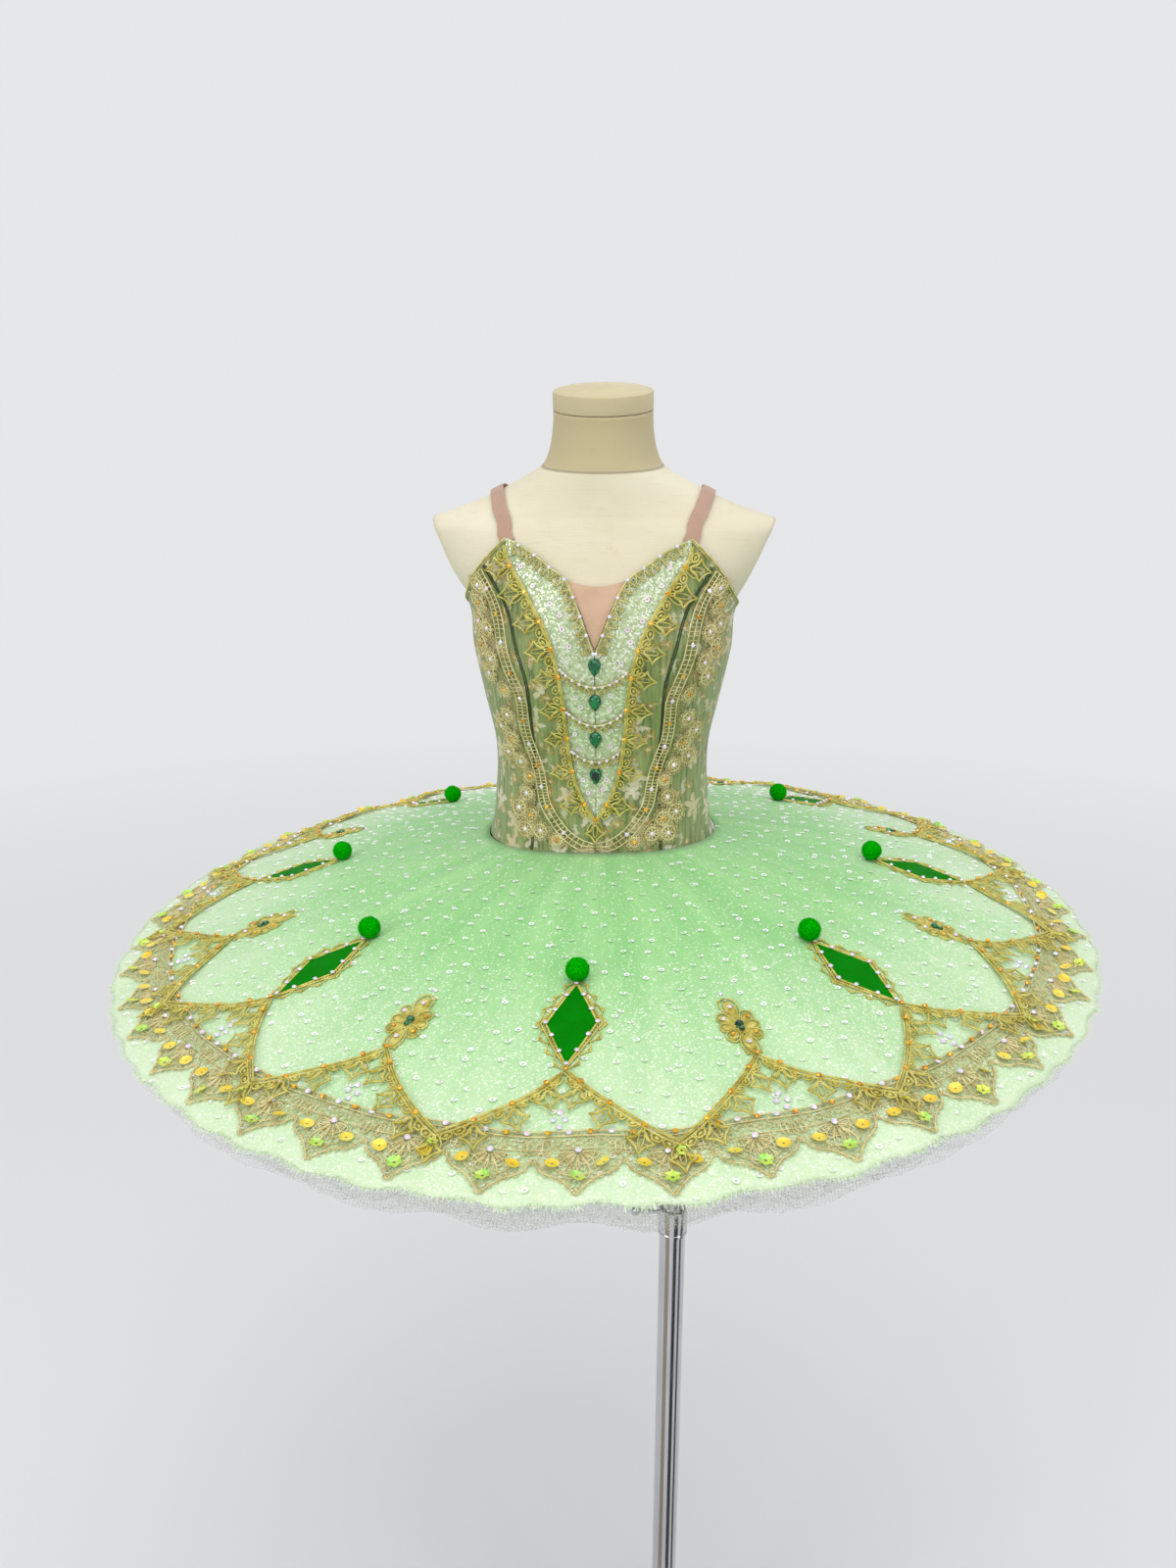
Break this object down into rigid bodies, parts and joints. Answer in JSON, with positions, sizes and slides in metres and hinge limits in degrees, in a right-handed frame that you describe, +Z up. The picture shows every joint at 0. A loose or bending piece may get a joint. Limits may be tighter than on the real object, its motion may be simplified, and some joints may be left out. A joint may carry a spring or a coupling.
{
  "type": "classical tutu on a limbless dress form with a pole stand",
  "caption": "Green and gold classical tutu: a boned bodice over a stiff decorated plate with net ruffles, on a limbless dress form with an adjustable pole stand.",
  "frame": {"origin": "on the floor, straight below the centre of the form and of the skirt's plate", "axes": "+Z up, the front of the bodice faces -Y, +X to the right of a person who looks at the front"},
  "size_m": [0.984, 0.984, 1.6912],
  "materials": {
    "form_linen": "matt linen",
    "cap_linen": "matt linen",
    "chrome": "polished",
    "base_steel": "polished",
    "brocade": "woven and crinkled",
    "plastron_cloth": "glitter",
    "nude_mesh": "matt",
    "plate_cloth": "satin, with glitter towards the rim",
    "net": "open net",
    "knickers_cloth": "matt",
    "gold_cord": "metallic cord",
    "beige_gold_lace": "metallic lace",
    "green_satin": "satin",
    "pompom_wool": "woolly",
    "emerald_glass": "faceted"
  },
  "bodies": {
    "stand": {"base_plate": "base_steel", "outer_tube": "chrome", "tube_collar": "chrome"},
    "mast": {"inner_tube": "chrome"},
    "screw": {"thumb_screw": "chrome"},
    "form": {"form_flange": "chrome", "form_torso": "form_linen", "neck_cap": "cap_linen", "plastron_right": "plastron_cloth", "plastron_left": "plastron_cloth", "front_right": "brocade", "front_left": "brocade", "side_front_right": "brocade", "side_front_left": "brocade", "side_back_right": "brocade", "side_back_left": "brocade", "back_right": "brocade", "back_left": "brocade", "modesty_insert": "nude_mesh", "strap_right": "nude_mesh", "strap_left": "nude_mesh", "plastron_lace": "gold_cord", "neckline_lace": "gold_cord", "side_lace": "beige_gold_lace", "stone_1": "emerald_glass", "stone_2": "emerald_glass", "stone_3": "emerald_glass", "stone_4": "emerald_glass", "plate": "plate_cloth", "net_upper": "net", "net_middle": "net", "net_lower": "net", "knickers_front": "knickers_cloth", "knickers_back": "knickers_cloth", "rim_lace": "beige_gold_lace", "arch_lace": "gold_cord", "lozenge_1": "green_satin", "lozenge_2": "green_satin", "lozenge_3": "green_satin", "lozenge_4": "green_satin", "lozenge_5": "green_satin", "lozenge_6": "green_satin", "lozenge_7": "green_satin", "lozenge_8": "green_satin", "flower_1": "gold_cord", "flower_2": "gold_cord", "flower_3": "gold_cord", "flower_4": "gold_cord", "flower_5": "gold_cord", "flower_6": "gold_cord", "flower_7": "gold_cord", "flower_8": "gold_cord", "pompom_1": "pompom_wool", "pompom_2": "pompom_wool", "pompom_3": "pompom_wool", "pompom_4": "pompom_wool", "pompom_5": "pompom_wool", "pompom_6": "pompom_wool", "pompom_7": "pompom_wool", "pompom_8": "pompom_wool"}
  },
  "joints": [
    {"name": "mast_height", "type": "slide", "parent": "stand", "child": "mast", "axis": [0, 0, 1], "range_m": [-0.195, 0.15]},
    {"name": "form_turn", "type": "hinge", "parent": "mast", "child": "form", "pos_m": [0.084, 0, 1], "axis": [0, 0, 1], "continuous": true},
    {"name": "screw_turn", "type": "hinge", "parent": "stand", "child": "screw", "pos_m": [0.055, 0, 0.78], "axis": [1, 0, 0], "continuous": true}
  ]
}
